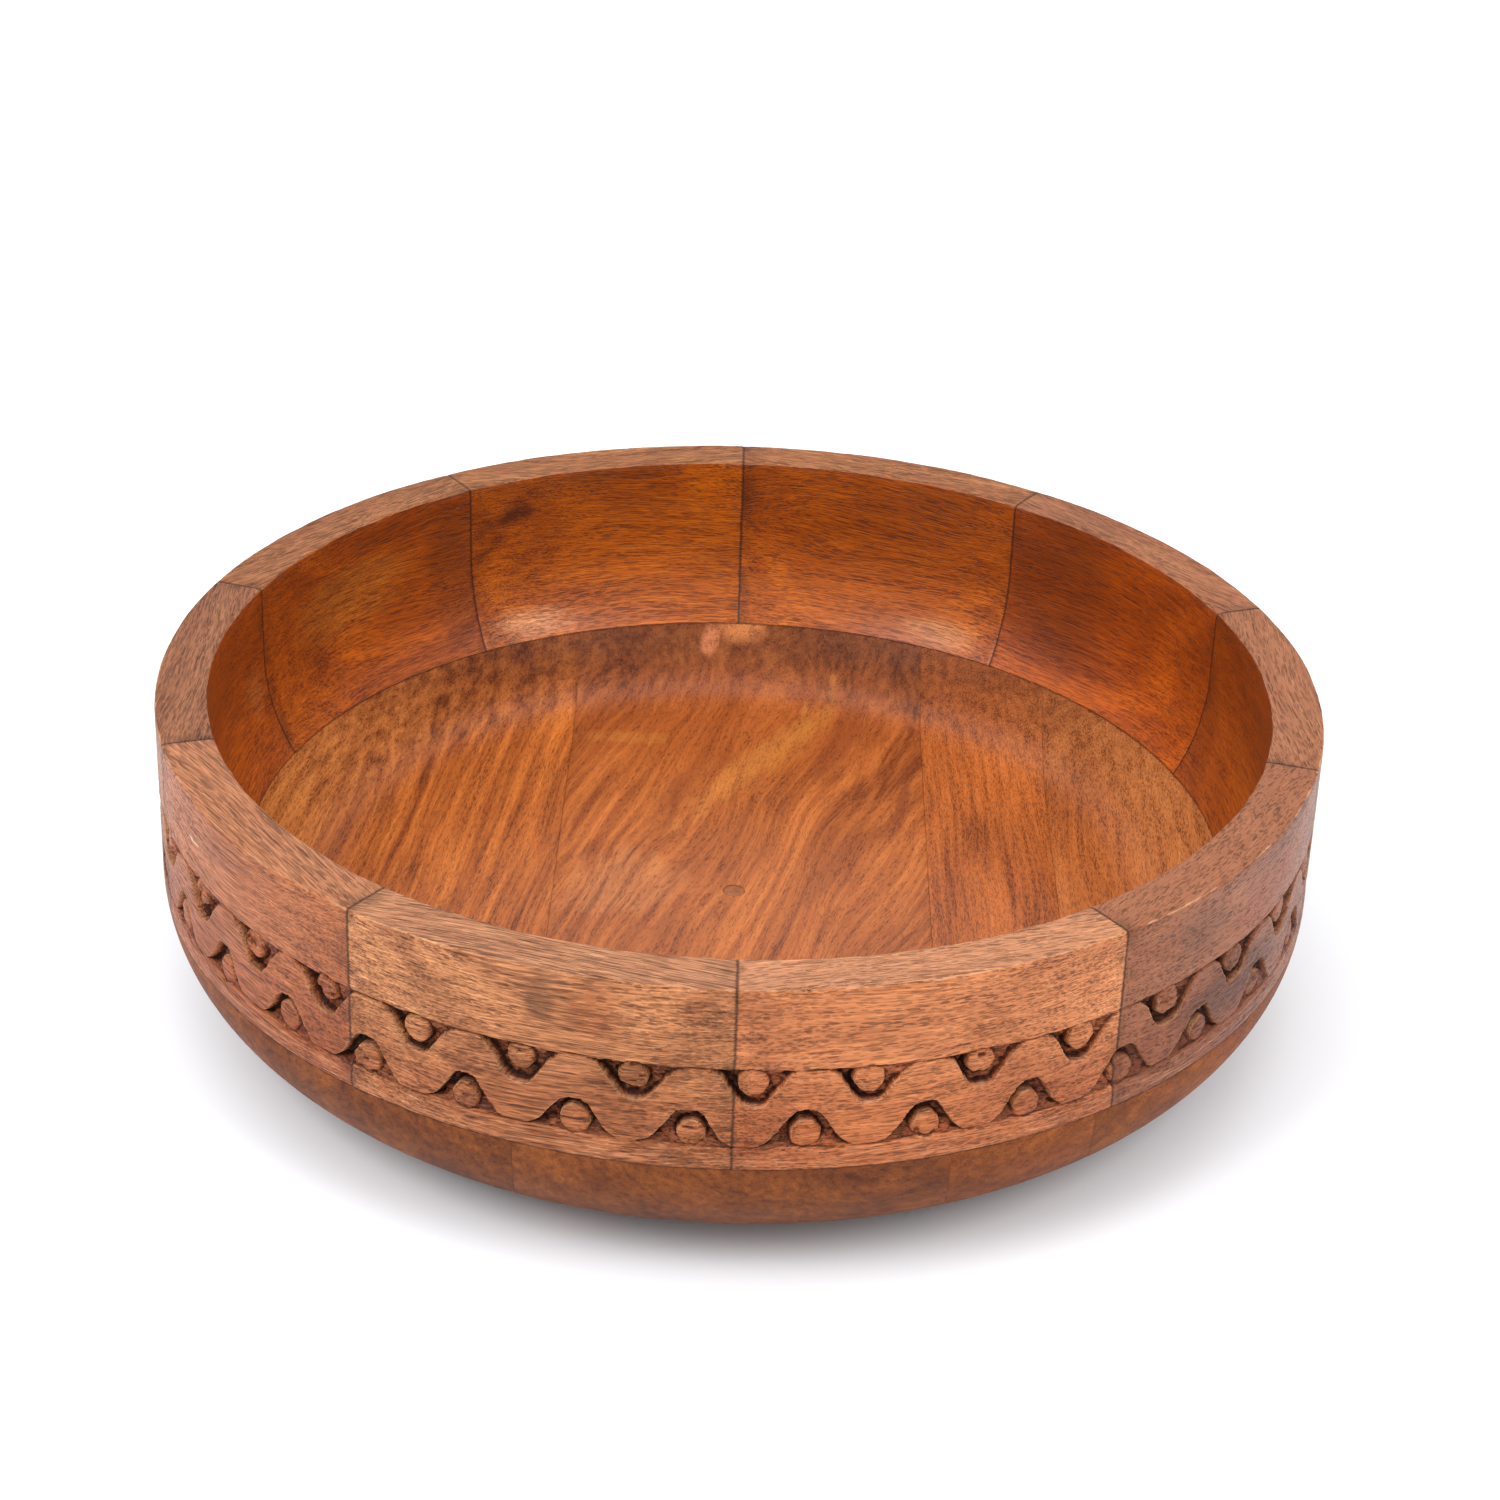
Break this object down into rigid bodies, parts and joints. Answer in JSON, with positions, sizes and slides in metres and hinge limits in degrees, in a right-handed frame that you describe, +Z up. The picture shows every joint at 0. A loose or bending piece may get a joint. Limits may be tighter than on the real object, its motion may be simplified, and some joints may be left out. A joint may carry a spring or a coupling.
{
  "type": "carved wooden bowl",
  "caption": "Round turned bowl with a ring of glued wooden staves on a plank base, a wide flat rim, a flat foot and a carved border of waves and round buttons.",
  "frame": {"origin": "centre of the flat foot, on the surface the bowl stands on", "axes": "+Z up through the mouth, -Y towards the front, +X to the right; the base planks run along Y"},
  "size_m": [0.3, 0.3, 0.086],
  "materials": {
    "wood_salmon": "oiled satin, open pores, orange-pink heartwood",
    "wood_golden": "oiled satin, open pores, golden brown",
    "wood_brown": "oiled satin, open pores, mid brown",
    "wood_red_brown": "oiled satin, open pores, red brown",
    "wood_dark": "oiled satin, fine pores, dark brown",
    "wood_base_streaky": "oiled satin, streaky grain",
    "wood_base_figured": "oiled satin, smooth with swirling figure",
    "wood_base_dark": "oiled satin, fine dark pores",
    "wood_plug": "matte wood filler, grey brown"
  },
  "bodies": {
    "root": {"rim_stave_1": "wood_salmon", "rim_stave_2": "wood_dark", "rim_stave_3": "wood_dark", "rim_stave_4": "wood_red_brown", "rim_stave_5": "wood_golden", "rim_stave_6": "wood_golden", "rim_stave_7": "wood_brown", "rim_stave_8": "wood_red_brown", "rim_stave_9": "wood_brown", "rim_stave_10": "wood_golden", "base_plank_left": "wood_base_streaky", "base_plank_middle": "wood_base_figured", "base_plank_narrow": "wood_base_dark", "base_plank_right": "wood_base_dark", "centre_plug": "wood_plug"}
  },
  "joints": []
}
